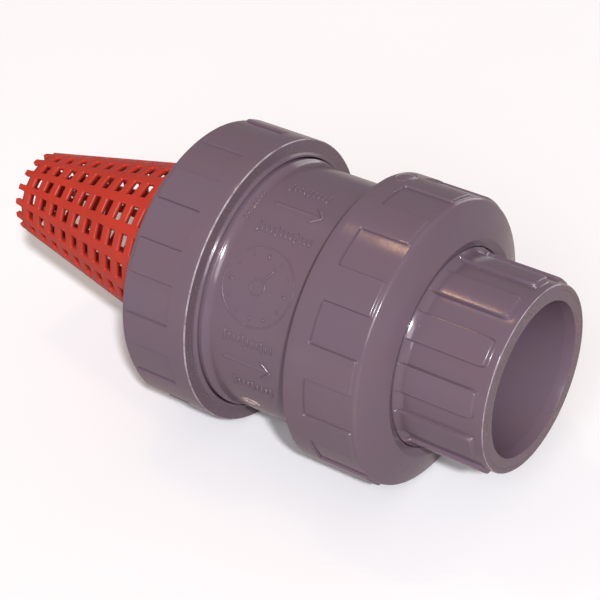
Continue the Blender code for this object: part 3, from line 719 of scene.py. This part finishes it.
def make_barrel(material):
    """The body, with a right-handed thread at each end."""
    groove_low, groove_top = SNAP_GROOVE
    corners = along(0.0, 1, [
        (BODY_OUTLET_END, BARREL_RADIUS, 0.7),
        (BODY_INLET_END, BARREL_RADIUS, 0.7),
        (BODY_INLET_END, CARRIER_BORE, 0.5),
        (CHAMBER_LOW, CARRIER_BORE, 0.3),
        (CHAMBER_LOW, CHAMBER_RADIUS, 0.4),
        (GUIDE_LEDGE, CHAMBER_RADIUS, 0.4),
        (GUIDE_LEDGE, GUIDE_BORE, 0.3),
        (groove_low, GUIDE_BORE, 0.15),
        (groove_low, SNAP_GROOVE_RADIUS, 0.15),
        (groove_top, SNAP_GROOVE_RADIUS, 0.15),
        (groove_top, GUIDE_BORE, 0.15),
        (BODY_OUTLET_END, GUIDE_BORE, 0.8),
    ])
    outlet_thread = (52.0 * MM, BODY_OUTLET_END - 0.5 * MM)
    inlet_thread = (BODY_INLET_END + 0.5 * MM, -1.0 * MM)
    rows = []
    for low, high in (outlet_thread, inlet_thread):
        count = int((high - low) / THREAD_ROW)
        rows += [low + (high - low) * i / count for i in range(count + 1)]
    rows += [INLET_NUT_FACE + COLLAR_GAP + 0.1 * MM * i for i in range(5)]
    rows += [INLET_NUT_FACE + COLLAR_TOP + 0.25 * MM * i for i in range(-2, 15)]
    rows += [12.0 * MM, 25.0 * MM, 38.0 * MM, 49.0 * MM]
    points = with_rows(rounded(corners), rows, BARREL_RADIUS)

    def shape(x, r, angle):
        run = fade(x, *outlet_thread, THREAD_RUN_IN) + fade(x, *inlet_thread, THREAD_RUN_IN)
        on_outside = np.abs(r - BARREL_RADIUS) < AT_RADIUS
        above = x - INLET_NUT_FACE
        collar = np.clip(1.0 - (above - COLLAR_TOP) / COLLAR_RUN, 0.0, 1.0) ** 2
        collar = collar * smooth_step((above - COLLAR_GAP) / (0.4 * MM)) * COLLAR_HEIGHT
        return r + on_outside * (run * thread_height(x, angle, 0.0) * BODY_THREAD_HEIGHT + collar)

    barrel = sweep("valve_body_fine", points, even_angles(240), shape)
    return stand_for(barrel, "valve_body", "valve_body", material)


def wrap(obj, station, angle, radius=BARREL_RADIUS):
    """Bend a flat piece onto the barrel: x runs along the flow, y round it, z outwards.

    y points up the front of the barrel, so a mark reads upright from the front.
    """
    for vertex in obj.data.vertices:
        x, y, z = vertex.co
        vertex.co = on_circle(station + x, radius + z, angle - y / radius)
    obj.data.update()


def face_along_flow(obj, station):
    """Stand a flat piece across the flow, its z along it and its centre on the axis."""
    for vertex in obj.data.vertices:
        x, y, z = vertex.co
        vertex.co = (station + z, x, AXIS_HEIGHT + y)
    obj.data.update()


def relief_mesh(name, make_faces):
    shape = bmesh.new()
    make_faces(shape)
    return object_from(name, shape, RELIEF_SHARP_DEGREES)


def bar(shape, start, end, width, height, sink=0.3 * MM):
    """A straight raised bar with sloping sides, from start to end in the flat."""
    start, end = Vector(start), Vector(end)
    forward = (end - start).normalized()
    side = Vector((-forward.y, forward.x))
    length = (end - start).length
    steps = max(2, int(length / MM))
    section = [(-0.55, -sink), (-0.42, height * 0.65), (-0.25, height * 0.93), (0.0, height),
               (0.25, height * 0.93), (0.42, height * 0.65), (0.55, -sink)]
    fall = min(width * 0.4 / length, 0.3)
    parts = [0.0, fall] + [fall + (1 - 2 * fall) * (i + 1) / steps for i in range(steps)] + [1.0]
    rings = []
    for part in parts:
        middle = start.lerp(end, part)
        fullness = 0.35 if part in (0.0, 1.0) else 1.0
        ring = []
        for across, up in section:
            spot = middle + side * (across * width * (0.6 + 0.4 * fullness))
            ring.append(shape.verts.new((spot.x, spot.y, up * fullness if up > 0 else up)))
        rings.append(ring)
    bridge(shape, rings)


def round_relief(shape, profile, segments):
    """Turn (radius, height) points about the mark's own centre. Ends at radius 0 close it."""
    rings = []
    for radius, height in profile:
        if radius == 0:
            rings.append([shape.verts.new((0.0, 0.0, height))])
            continue
        ring = []
        for k in range(segments):
            a = 2 * math.pi * k / segments
            ring.append(shape.verts.new((radius * math.cos(a), radius * math.sin(a), height)))
        rings.append(ring)
    following = rings[1:] if len(rings[0]) == 1 else rings[1:] + rings[:1]
    for first, second in zip(rings, following):
        for k in range(segments):
            j = (k + 1) % segments
            corners = [first[k % len(first)], first[j % len(first)]]
            corners += [second[j % len(second)], second[k % len(second)]]
            unique = list(dict.fromkeys(corners))
            if len(unique) > 2:
                shape.faces.new(unique)


def mark_barrel(name, build, station, angle, material):
    """Draw a mark in the flat and bend it onto the body."""
    mark = relief_mesh(name, build)
    wrap(mark, station, angle)
    add_to(mark, "valve_body", material)


def make_medallion(name, station, angle, material):
    """A thin raised ring with small ticks inside it and a pointer, like a mould's date dial."""

    def build(shape):
        foot, rise = -0.3 * MM, 0.5 * MM
        ring = [(-0.5, foot), (-0.35, rise * 0.8), (0.0, rise), (0.35, rise * 0.8), (0.5, foot)]
        for radius, width in ((MEDALLION_RADIUS, 0.6 * MM), (3.2 * MM, 0.7 * MM)):
            round_relief(shape, [(radius + across * width, up) for across, up in ring], 96)
        for i in range(12):
            spoke = in_direction(math.radians(30.0 * i))
            inner = 11.6 if i % 3 == 0 else 12.6
            bar(shape, spoke * inner * MM, spoke * 13.6 * MM, 0.9 * MM, 0.7 * MM)
        pointer = in_direction(math.radians(60.0))
        bar(shape, pointer * 3.3 * MM, pointer * 9.6 * MM, 1.0 * MM, 0.75 * MM)

    mark_barrel(name, build, station, angle, material)


def make_scale(name, station, angle, length, height, along_flow, material):
    """A row of raised gauge ticks, long and short in turn."""
    pitch = 2.2 * MM
    count = int(length / pitch)

    def build(shape):
        for i in range(count + 1):
            place = pitch * (i - count / 2)
            rise = height / 2 if i % 4 == 0 else height / 3.2
            ends = [(place, -rise), (place, rise)]
            if not along_flow:
                ends = [(y, x) for x, y in ends]
            bar(shape, *ends, 0.95 * MM, 0.75 * MM)

    mark_barrel(name, build, station, angle, material)


def make_arrow(name, station, angle, material):
    """A flow arrow that points to the outlet."""
    length, head = 23.0 * MM, 4.6 * MM

    def build(shape):
        bar(shape, (-length / 2, 0.0), (length / 2, 0.0), 1.5 * MM, 0.4 * MM)
        for side in (-1, 1):
            bar(shape, (length / 2 - head, side * head * 0.85), (length / 2, 0.0), 1.1 * MM, 0.8 * MM)

    mark_barrel(name, build, station, angle, material)


def make_gate_scar(name, station, angle, material):
    """The trimmed oval stub of the mould's gate."""

    def build(shape):
        ring = [(1.2, 0.15), (1.35, 0.45), (1.6, 0.5), (1.8, 0.4), (1.95, -0.3), (1.2, -0.3)]
        round_relief(shape, [(r * MM, h * MM) for r, h in ring], 48)

    mark = relief_mesh(name, build)
    for vertex in mark.data.vertices:
        vertex.co.x *= 2.4
        vertex.co.z *= 1.0 + 0.25 * math.sin(5.0 * vertex.co.x / MM)
    wrap(mark, station, angle)
    return add_to(mark, "valve_body", material)


def make_nut_oval(name, body, station, angle, material):
    """The low oval pad on the plain band of a nut, with a fine groove round it."""

    def build(shape):
        pad = [(0.0, 0.40), (1.6, 0.42), (2.3, 0.42), (2.6, 0.30), (2.8, 0.12), (3.0, 0.12), (3.2, 0.34),
               (3.5, 0.30), (3.75, -0.3), (0.0, -0.4)]
        round_relief(shape, [(r * MM, h * MM) for r, h in pad], 64)

    mark = relief_mesh(name, build)
    for vertex in mark.data.vertices:
        vertex.co.y *= 2.0
    wrap(mark, station, angle, NUT_RADIUS)
    return add_to(mark, body, material)


def make_barrel_marks(material, torn_material):
    """The dial, arrows and gauge ticks, the same on the front and the back."""
    for side, turn in (("front", 0.0), ("back", 180.0)):
        dial = math.degrees(MEDALLION_ANGLE) + turn
        make_medallion(f"medallion_{side}", MEDALLION_STATION, math.radians(dial), material)
        for level, away in (("upper", -39.0), ("lower", 36.5)):
            place = math.radians(dial + away)
            make_arrow(f"arrow_{side}_{level}", 25.0 * MM, place, material)
        for level, away, station, length in SCALES:
            place = math.radians(dial + away)
            make_scale(f"scale_{side}_{level}", station, place, length, 5.0 * MM, True, material)
        place = math.radians(dial - 34.5)
        make_scale(f"scale_{side}_edge", 6.6 * MM, place, 15.0 * MM, 2.8 * MM, False, material)
    make_gate_scar("gate_scar", 21.6 * MM, math.radians(211.0), torn_material)


# ---- strainer


def net_radius(x):
    return NET_COLLAR_RADIUS + NET_SLOPE * (x - NET_COLLAR)


def net_rows():
    """(station, lies in a hole) from the mouth to the tip, with support rows in each hoop."""
    rows = [(-30.0 * MM, False), (-33.0 * MM, False)]
    margin = 0.55 * MM
    for row in reversed(range(HOLE_ROWS)):
        centre = LAST_HOLE + HOLE_PITCH * row
        top, bottom = centre + HOLE_LENGTH / 2, centre - HOLE_LENGTH / 2
        rows += [(top + margin, False), (top, True), (top - margin, True), (centre, True)]
        rows += [(bottom + margin, True), (bottom, False), (bottom - margin, False)]
    return rows + [(LAST_HOOP_END, True), (NET_TIP + 0.8 * MM, True), (NET_TIP, True)]


def make_net_lattice():
    """Crossed strips on a cone, drawn as a coarse cage and rounded by subdivision."""
    rows = net_rows()
    pitch = 2 * math.pi / NET_STRIPS
    hole_half = (pitch - NET_STRIP_ANGLE) / 2
    margin = NET_STRIP_ANGLE * 0.16
    offsets = [-hole_half, margin - hole_half, 0.0, hole_half - margin, hole_half,
               hole_half + margin, pitch - hole_half - margin]
    shape = bmesh.new()
    grid = []
    for x, in_hole in rows:
        ring = []
        for strip in range(NET_STRIPS):
            for k, offset in enumerate(offsets):
                angle = NET_HOLE_PHASE + strip * pitch + offset
                sunk = NET_STRIP_SINK if 1 <= k <= 3 and x > LAST_HOOP_END else 0.0
                ring.append(shape.verts.new(on_circle(x, net_radius(x) - sunk, angle)))
        grid.append(ring)
    columns = len(grid[0])
    for i in range(len(rows) - 1):
        for j in range(columns):
            between_strips = j % len(offsets) < 4
            if between_strips and rows[i][1]:
                continue
            k = (j + 1) % columns
            shape.faces.new((grid[i][j], grid[i][k], grid[i + 1][k], grid[i + 1][j]))
    bmesh.ops.delete(shape, geom=[v for v in shape.verts if not v.link_faces], context="VERTS")
    net = object_from("strainer_net", shape)
    solidify = net.modifiers.new("thickness", "SOLIDIFY")
    solidify.thickness = NET_THICKNESS
    solidify.offset = -1.0
    solidify.edge_crease_outer = NET_EDGE_CREASE
    solidify.edge_crease_inner = NET_EDGE_CREASE
    rounding = net.modifiers.new("rounding", "SUBSURF")
    rounding.levels = 1
    rounding.render_levels = 1
    return net


def make_net_end(material):
    """The flat net that closes the tip: three rings joined by spokes."""

    def build(shape):
        height = 0.9 * MM
        for radius, half in ((4.0, 2.0), (9.8, 1.5), (16.7, 1.9)):
            inner = max(radius - half, 0.0)
            section = [(inner, -0.5), (inner + 0.3, -1.0), (radius + half - 0.3, -1.0), (radius + half, -0.5),
                       (radius + half, 0.5), (radius + half - 0.3, 1.0), (inner + 0.3, 1.0), (inner, 0.5)]
            round_relief(shape, [(r * MM, h * MM) for r, h in section], 68)
        for i in range(NET_END_SPOKES):
            spoke = in_direction(2 * math.pi * i / NET_END_SPOKES)
            bar(shape, spoke * 5.0 * MM, spoke * 16.8 * MM, 3.0 * MM, height, sink=height)

    disc = relief_mesh("strainer_net_end", build)
    face_along_flow(disc, NET_END_STATION)
    return add_to(disc, "strainer", material)


def make_strainer(material):
    net = make_net_lattice()
    stand_for(net, "strainer_basket", "strainer", material)
    flange_low = low_x("inlet_union_nut") + (NUT_LENGTH - NUT_LEDGE) + CLEARANCE
    corners = along(flange_low, 1, [
        (2.5 * MM, FLANGE_RADIUS, 0.5),
        (0.0, FLANGE_RADIUS, 0.5),
        (0.0, 39.5 * MM, 0.8),
        (-6.0 * MM, 39.1 * MM, 0.8),
        (-6.0 * MM, 35.8 * MM, 0.6),
        (2.5 * MM, 36.0 * MM, 0.6),
    ])
    mouth = sweep("strainer_mouth", rounded(corners), even_angles(136))
    add_to(mouth, "strainer", material)
    make_net_end(material)


# ---- inner parts


def make_turned(node, body, corners, material, closed=True, count=96):
    """An inner turned piece, corners in millimetres in the frame."""
    piece = sweep(node + "_fine", rounded(in_metres(corners), closed), even_angles(count), closed=closed)
    return stand_for(piece, node, body, material)


def make_o_ring(node, body, material):
    """A ring of round section in the middle of its CAD box."""
    low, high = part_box(node)
    section = (high[0] - low[0]) / 2 * 1.06
    middle = (high[1] - low[1]) / 2 - section
    centre = (high[0] + low[0]) / 2
    points = []
    for k in range(16):
        a = 2 * math.pi * k / 16
        points.append((centre + section * math.sin(a), middle + section * math.cos(a)))
    ring = sweep(node + "_fine", points, even_angles(144))
    return stand_for(ring, node, body, material)


def make_gasket(material):
    low = low_x("strainer_gasket") / MM
    thickness = 1.5
    make_turned("strainer_gasket", "strainer", [
        (low + thickness, 47.5, 0.3), (low, 47.5, 0.3), (low, 36.5, 0.3), (low + thickness, 36.5, 0.3),
    ], material, count=144)


def make_seat_carrier(material):
    low = low_x("seat_carrier") / MM
    flange = FLANGE_RADIUS / MM
    make_turned("seat_carrier", "valve_body", [
        (3.0, 26.6, 0.5), (1.5, 28.5, 0.5), (1.5, 45.2, 0.5), (-5.0, 45.2, 0.2),
        (-5.0, 42.6, 0.2), (-9.0, 42.6, 0.2), (-9.0, 45.2, 0.2), (low + 4.2, 45.2, 0.4),
        (low + 4.2, flange, 0.4), (low, flange, 0.4), (low, 36.0, 1.0), (-8.0, 25.0, 3.0),
        (3.0, 25.0, 0.5),
    ], material, count=144)


def make_poppet(material):
    make_turned("poppet", "poppet", [
        (70.0, 0.0, 0), (70.0, 4.0, 0.7), (68.35, 4.0, 0.1), (68.35, 3.2, 0.1), (66.85, 3.2, 0.1),
        (66.85, 4.0, 0.1), (14.5, 4.0, 0.6), (14.5, 9.5, 0.7), (10.4, 9.5, 1.2), (9.0, 28.5, 1.0),
        (8.0, 31.0, 1.0), (4.0, 31.0, 0.5), (4.0, 29.9, 0.3), (5.6, 29.9, 0.2), (5.6, 10.0, 0.2),
        (3.3, 10.0, 0.2), (3.3, 2.8, 0.2), (12.5, 2.8, 0), (12.5, 0.0, 0),
    ], material, closed=False)


def make_seal_clamp(rubber_material, steel_material):
    make_turned("poppet_seal", "poppet", [
        (5.3, 29.6, 0.4), (3.3, 29.6, 0.4), (3.3, 10.3, 0.3), (5.3, 10.3, 0.3),
    ], rubber_material, count=144)
    make_turned("seal_retainer", "poppet", [
        (3.0, 21.0, 0.5), (0.8, 21.0, 0.7), (0.8, 2.8, 0.2), (3.0, 2.8, 0.2),
    ], steel_material)
    make_turned("retainer_washer", "poppet", [
        (0.5, 6.0, 0.25), (-0.5, 6.0, 0.25), (-0.5, 2.8, 0.2), (0.5, 2.8, 0.2),
    ], steel_material)


def make_screw(material):
    """Socket screw: a turned shank and head with a six-sided pit."""
    top = low_x("retainer_screw") / MM
    pit = 1.6
    corners = in_metres([
        (12.2, 0.0, 0), (12.2, 2.5, 0.5), (-0.8, 2.5, 0.15), (-0.8, 4.2, 0.4), (top + 0.4, 4.2, 0.7),
        (top, 2.3, 0.2), (top + pit, 2.0, 0.1), (top + pit, 0.0, 0),
    ])

    def shape(x, r, angle):
        in_pit = (r > 1.5 * MM) & (r < 2.15 * MM) & (x < (top + pit + 0.2) * MM)
        flat = math.pi / 3
        corner = math.cos(flat / 2) / np.cos((angle % flat) - flat / 2)
        return np.where(in_pit, r * corner, r)

    screw = sweep("retainer_screw_fine", rounded(corners, False), even_angles(96), shape, closed=False)
    return stand_for(screw, "retainer_screw", "poppet", material)


def make_stem_guide(material):
    """Ring, four arms with rounded edges and a hub."""
    make_turned("stem_guide", "valve_body", [
        (63.3, 45.7, 0.4), (55.3, 45.7, 0.4), (55.3, 42.0, 0.5), (63.3, 42.0, 0.5),
    ], material, count=144)
    hub = in_metres([
        (64.0, 10.2, 0.9), (62.5, 11.0, 0.9), (52.0, 11.0, 0.5), (52.0, 6.5, 0.2), (64.0, 6.5, 0.2),
    ])
    add_to(sweep("guide_hub", rounded(hub), even_angles(96)), "valve_body", material)

    def build(shape):
        for quarter in range(4):
            spoke = in_direction(math.pi / 2 * quarter)
            bar(shape, spoke * 10.4 * MM, spoke * 42.6 * MM, 3.9 * MM, 2.5 * MM, sink=2.5 * MM)

    arms = relief_mesh("guide_arms", build)
    face_along_flow(arms, (GUIDE_LEDGE + CLEARANCE + SNAP_GROOVE[0]) / 2)
    return add_to(arms, "valve_body", material)


def open_ring(node, body, low, high, inner, outer, gap_half_angle, material):
    """A flat steel ring with rounded edges and a gap at the top. Lengths are in millimetres."""
    shape = bmesh.new()
    fillet = 0.12
    section = rounded(in_metres([
        (low, inner, fillet), (low, outer, fillet), (high, outer, fillet), (high, inner, fillet),
    ]), steps=2)
    rings = []
    steps = 96
    for i in range(steps + 1):
        angle = math.pi / 2 + gap_half_angle + (2 * math.pi - 2 * gap_half_angle) * i / steps
        rings.append([shape.verts.new(on_circle(x, r, angle)) for x, r in section])
    bridge(shape, rings)
    obj = object_from(node + "_fine", shape, TURNED_SHARP_DEGREES)
    return stand_for(obj, node, body, material)


def make_small_parts(acetal_material, steel_material):
    make_turned("guide_bush", "valve_body", [
        (65.5, 8.5, 0.4), (64.3, 8.5, 0.3), (64.3, 6.2, 0.2), (52.3, 6.2, 0.3), (52.3, 4.3, 0.3),
        (65.5, 4.3, 0.4),
    ], acetal_material)
    make_turned("spring_cup", "poppet", [
        (17.3, 10.6, 0.3), (14.8, 10.6, 0.8), (14.8, 4.3, 0.3), (16.0, 4.3, 0.3), (16.0, 9.4, 0.4),
        (17.3, 9.4, 0.3),
    ], steel_material)
    open_ring("guide_retaining_ring", "valve_body", 63.6, 64.8, 44.8, 47.6, 0.087, steel_material)
    open_ring("stem_clip", "poppet", 67.15, 68.05, 3.5, 7.0, 0.45, steel_material)


def make_spring(material):
    """The closing spring, drawn to its CAD box. In the valve it shortens as the poppet lifts."""
    low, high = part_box("closing_spring")
    wire = 0.75 * MM
    radius = (high[1] - low[1]) / 2 - wire
    start, end = low[0] + wire, high[0] - wire
    turns, per_turn = 6, 40
    curve = bpy.data.curves.new("closing_spring_fine", "CURVE")
    curve.dimensions = "3D"
    curve.bevel_depth = wire
    curve.bevel_resolution = 3
    curve.use_fill_caps = True
    spline = curve.splines.new("POLY")
    spline.points.add(turns * per_turn)
    for i, point in enumerate(spline.points):
        part = i / (turns * per_turn)
        point.co = (*on_circle(start + (end - start) * part, radius, 2 * math.pi * turns * part), 1.0)
    source = put_in_scene("spring_curve", curve)
    bpy.context.view_layer.update()
    graph = bpy.context.evaluated_depsgraph_get()
    mesh = bpy.data.meshes.new_from_object(source.evaluated_get(graph))
    bpy.data.objects.remove(source, do_unlink=True)
    mesh.shade_smooth()
    mesh.materials.clear()
    spring = put_in_scene("closing_spring_fine", mesh)
    stand_for(spring, "closing_spring", "valve_body", material)
    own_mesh(spring)
    return spring


# ---- stage


def make_floor():
    bpy.ops.mesh.primitive_plane_add(size=6.0, location=(0.0, 0.0, 0.0))
    floor = bpy.context.object
    floor.name = "floor"
    n = Nodes("pale_floor")
    seen = n.ramp(n.noise(6.0, 3.0), [(0.3, (0.93, 0.95, 0.97)), (0.7, (0.94, 0.96, 0.98))])
    direct = n.add("ShaderNodeLightPath").outputs["Is Camera Ray"]
    n.join(n.mix(direct, (0.50, 0.46, 0.45), seen), n.shader.inputs["Base Color"])
    n.shader.inputs["Roughness"].default_value = 0.9
    floor.data.materials.append(n.material)


def make_camera():
    """The camera looks down the flow from the outlet side."""
    target = Vector((12.3 * MM, 3.0 * MM, 53.7 * MM))
    back = from_angles(35.14, 33.12)
    data = bpy.data.cameras.new("camera")
    data.lens = 120.08
    data.sensor_width = 36.0
    camera = put_in_scene("camera", data)
    camera.location = target + back * 826.6 * MM
    aim(camera, -back)
    bpy.context.scene.camera = camera


def aim(obj, direction):
    """Point a light or camera along a direction."""
    obj.rotation_euler = Vector(direction).to_track_quat("-Z", "Y").to_euler()


def from_angles(azimuth, elevation):
    """Unit vector towards a place round the object, with 0, 0 in front of it at -Y."""
    azimuth, elevation = math.radians(azimuth), math.radians(elevation)
    flat = math.cos(elevation)
    return Vector((math.sin(azimuth) * flat, -math.cos(azimuth) * flat, math.sin(elevation)))


def add_light(name, kind, power, colour):
    data = bpy.data.lights.new(name, kind)
    data.energy = power
    data.color = colour
    return put_in_scene(name, data)


def add_softbox(name, power, colour, size, location):
    """A square area light that faces the origin."""
    softbox = add_light(name, "AREA", power, colour)
    softbox.data.size = size
    softbox.location = location
    aim(softbox, -location)
    return softbox


def make_lights():
    """A soft key and a softbox from the camera's side, one behind and a small warm lamp above."""
    key = add_light("key", "SUN", 2.8, (0.99, 0.97, 1.0))
    key.data.angle = math.radians(3.2)
    aim(key, -from_angles(43.0, 37.0))
    add_softbox("front_softbox", 15.0, (1.0, 0.98, 1.0), 0.9, from_angles(24.0, 34.0) * 2.0)
    add_softbox("back_softbox", 9.0, (1.0, 0.98, 0.98), 1.2, from_angles(178.0, 14.0) * 2.2)
    lamp = add_softbox("warm_lamp", 0.42, (1.0, 0.60, 0.34), 0.07, Vector((-0.25, 0.04, 0.845)))
    aim(lamp, (0.3, -0.05, -0.75))


def make_room():
    """A dim warm-topped room lights the valve. Seen directly, it is plain and pale."""
    world = bpy.data.worlds.new("studio")
    world.use_nodes = True
    tree = world.node_tree
    join = tree.links.new
    room = tree.nodes["Background"]
    direction = tree.nodes.new("ShaderNodeTexCoord")
    upright = tree.nodes.new("ShaderNodeSeparateXYZ")
    join(direction.outputs["Generated"], upright.inputs[0])
    gradient = tree.nodes.new("ShaderNodeValToRGB")
    gradient.color_ramp.elements[0].color = (0.98, 0.93, 1.0, 1.0)
    gradient.color_ramp.elements[1].color = (1.0, 0.80, 0.64, 1.0)
    join(upright.outputs["Z"], gradient.inputs[0])
    join(gradient.outputs[0], room.inputs["Color"])
    room.inputs["Strength"].default_value = 0.31
    backdrop = tree.nodes.new("ShaderNodeBackground")
    backdrop.inputs["Color"].default_value = (1.0, 0.995, 0.99, 1.0)
    backdrop.inputs["Strength"].default_value = 1.0
    path = tree.nodes.new("ShaderNodeLightPath")
    mix = tree.nodes.new("ShaderNodeMixShader")
    join(path.outputs["Is Camera Ray"], mix.inputs[0])
    join(room.outputs[0], mix.inputs[1])
    join(backdrop.outputs[0], mix.inputs[2])
    join(mix.outputs[0], tree.nodes["World Output"].inputs["Surface"])
    bpy.context.scene.world = world
    bpy.context.scene.view_settings.view_transform = "Standard"


def main():
    make_camera()
    make_floor()
    make_lights()
    make_room()
    body_pvc = pvc("pvc_body", 1.0, 0.0)
    nut_pvc = pvc("pvc_nuts", 1.3, 3.0)
    # The inlet nut's face gets a pale edge line, partly a painted highlight.
    cut_pvc = pvc("pvc_inlet_nut", 1.5, 5.0, INLET_NUT_FACE, NUT_RADIUS)
    # The socket face's cut speckle is partly a painted warm reflection, and its pale edge line partly a
    # painted highlight.
    socket_pvc = pvc("pvc_socket", 0.7, 7.0, SOCKET_FACE, SOCKET_RADIUS)
    inner_pvc = pvc("pvc_inner", 0.2, 11.0)
    red_net = net_plastic("red_net")
    black_rubber = rubber("black_rubber")
    turned_steel = steel("turned_steel")
    drawn_steel = steel("drawn_steel", turned=False)
    white_acetal = acetal("white_acetal")
    make_barrel(body_pvc)
    make_barrel_marks(body_pvc, torn_pvc("torn_pvc"))
    make_nut("outlet_union_nut", "outlet_nut", OUTLET_NUT_FACE, 1, OUTLET_POCKET_PHASE, nut_pvc)
    make_nut("inlet_union_nut", "inlet_nut", INLET_NUT_FACE, -1, INLET_POCKET_PHASE, cut_pvc)
    make_nut_oval("outlet_nut_oval", "outlet_nut", OUTLET_NUT_FACE + 4.6 * MM,
                  math.radians(74.0), nut_pvc)
    make_connector(socket_pvc)
    make_strainer(red_net)
    make_gasket(black_rubber)
    make_o_ring("outlet_face_seal", "outlet_connector", black_rubber)
    make_o_ring("seat_carrier_seal", "valve_body", black_rubber)
    make_seat_carrier(inner_pvc)
    make_poppet(inner_pvc)
    make_seal_clamp(black_rubber, turned_steel)
    make_screw(drawn_steel)
    make_stem_guide(inner_pvc)
    make_small_parts(white_acetal, drawn_steel)
    make_spring(drawn_steel)


main()
